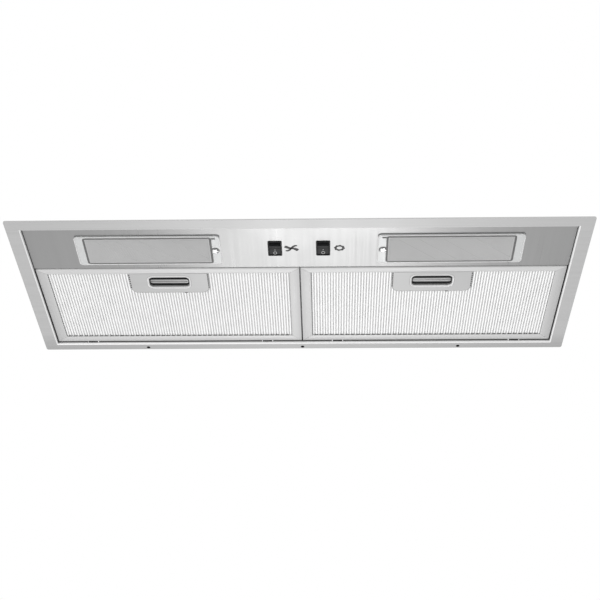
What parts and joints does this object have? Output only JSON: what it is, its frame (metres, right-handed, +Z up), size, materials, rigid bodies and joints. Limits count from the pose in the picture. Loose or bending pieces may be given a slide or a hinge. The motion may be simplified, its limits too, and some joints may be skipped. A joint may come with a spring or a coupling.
{
  "type": "under cabinet range hood",
  "caption": "Built-in under cabinet range hood: steel frame with lens lamps, rocker switches and latched mesh filters, low twin blower and rectangular outlet with check flap above.",
  "frame": {"origin": "centre of the underside of the flange", "axes": "+X to the right along the width, +Y to the rear (wall), +Z up"},
  "size_m": [0.75, 0.285, 0.16],
  "materials": {
    "stainless": "brushed stainless sheet, grain along the width",
    "galvanised": "galvanised sheet",
    "lamp_white": "white reflector paint",
    "lens_clear": "clear plate with a fine prismatic window",
    "socket_white": "white thermoset",
    "bulb_glass": "clear tubular bulb",
    "plated": "bright zinc plate",
    "switch_black": "black, half gloss",
    "filter_alu": "expanded aluminium mesh in a rolled frame",
    "latch_metal": "satin pressed sheet",
    "latch_black": "black",
    "blower_black": "black moulded plastic",
    "motor_paint": "plain motor can",
    "iron": "laminated steel",
    "copper": "copper windings",
    "spring_steel": "blued spring steel",
    "lead_black": "black sleeved leads"
  },
  "bodies": {
    "hood": {"face_frame": "stainless", "control_panel": "stainless", "tray_shell": "galvanised", "motor_box": "galvanised", "partition": "galvanised", "centre_support": "galvanised", "lamp_housing_left": "lamp_white", "lamp_housing_right": "lamp_white", "lamp_lens_left": "lens_clear", "lamp_lens_right": "lens_clear", "lamp_socket_left": "socket_white", "lamp_socket_right": "socket_white", "lamp_bulb_left": "bulb_glass", "lamp_bulb_right": "bulb_glass", "bulb_bases": "plated", "lens_screws": "plated", "fan_switch_body": "switch_black", "light_switch_body": "switch_black", "scroll_left": "blower_black", "scroll_right": "blower_black", "scroll_cover_left": "blower_black", "scroll_cover_right": "blower_black", "motor_can": "motor_paint", "motor_endcap": "motor_paint", "stator_core": "iron", "stator_windings": "copper", "motor_bracket": "galvanised", "motor_bearings": "plated", "capacitor": "socket_white", "capacitor_clip": "galvanised", "terminal_box": "blower_black", "terminal_box_cover": "blower_black", "terminal_block": "socket_white", "cable_gland": "blower_black", "outlet_collar": "galvanised", "spring_clips": "spring_steel", "shell_screws": "plated", "box_screws": "plated", "scroll_screws": "plated", "bracket_screws": "plated", "wiring_harness": "lead_black"},
    "fan_switch": {"fan_rocker": "switch_black"},
    "light_switch": {"light_rocker": "switch_black"},
    "fan": {"impeller_left": "blower_black", "impeller_right": "blower_black", "motor_shaft": "plated", "rotor": "iron"},
    "check": {"check_flap": "galvanised"},
    "filter_left": {"filter_frame_left": "filter_alu", "filter_mesh_left": "filter_alu", "filter_media_left": "filter_alu", "latch_plate_left": "latch_metal", "latch_guide_left": "latch_black"},
    "filter_right": {"filter_frame_right": "filter_alu", "filter_mesh_right": "filter_alu", "filter_media_right": "filter_alu", "latch_plate_right": "latch_metal", "latch_guide_right": "latch_black"},
    "latch_left": {"latch_slider_left": "latch_metal"},
    "latch_right": {"latch_slider_right": "latch_metal"}
  },
  "joints": [
    {"name": "fan_switch_rock", "type": "hinge", "parent": "hood", "child": "fan_switch", "pos_m": [-0.0315, -0.08, 0.0096], "axis": [1, 0, 0], "range_deg": [-22, 0]},
    {"name": "light_switch_rock", "type": "hinge", "parent": "hood", "child": "light_switch", "pos_m": [0.0315, -0.08, 0.0096], "axis": [1, 0, 0], "range_deg": [-22, 0]},
    {"name": "fan_spin", "type": "hinge", "parent": "hood", "child": "fan", "pos_m": [0, 0.0617, 0.0879], "axis": [1, 0, 0], "continuous": true},
    {"name": "check_flap_swing", "type": "hinge", "parent": "hood", "child": "check", "pos_m": [0, 0.1207, 0.147], "axis": [1, 0, 0], "range_deg": [-80, 0]},
    {"name": "filter_left_swing", "type": "hinge", "parent": "hood", "child": "filter_left", "pos_m": [-0.17788, 0.1275, 0.0046], "axis": [1, 0, 0], "range_deg": [0, 75]},
    {"name": "filter_right_swing", "type": "hinge", "parent": "hood", "child": "filter_right", "pos_m": [0.17788, 0.1275, 0.0046], "axis": [1, 0, 0], "range_deg": [0, 75]},
    {"name": "latch_left_slide", "type": "slide", "parent": "filter_left", "child": "latch_left", "axis": [0, 1, 0], "range_m": [-0.003, 0.0035], "stiffness_N_per_m": 150, "springref_m": -0.003},
    {"name": "latch_right_slide", "type": "slide", "parent": "filter_right", "child": "latch_right", "axis": [0, 1, 0], "range_m": [-0.003, 0.0035], "stiffness_N_per_m": 150, "springref_m": -0.003}
  ]
}
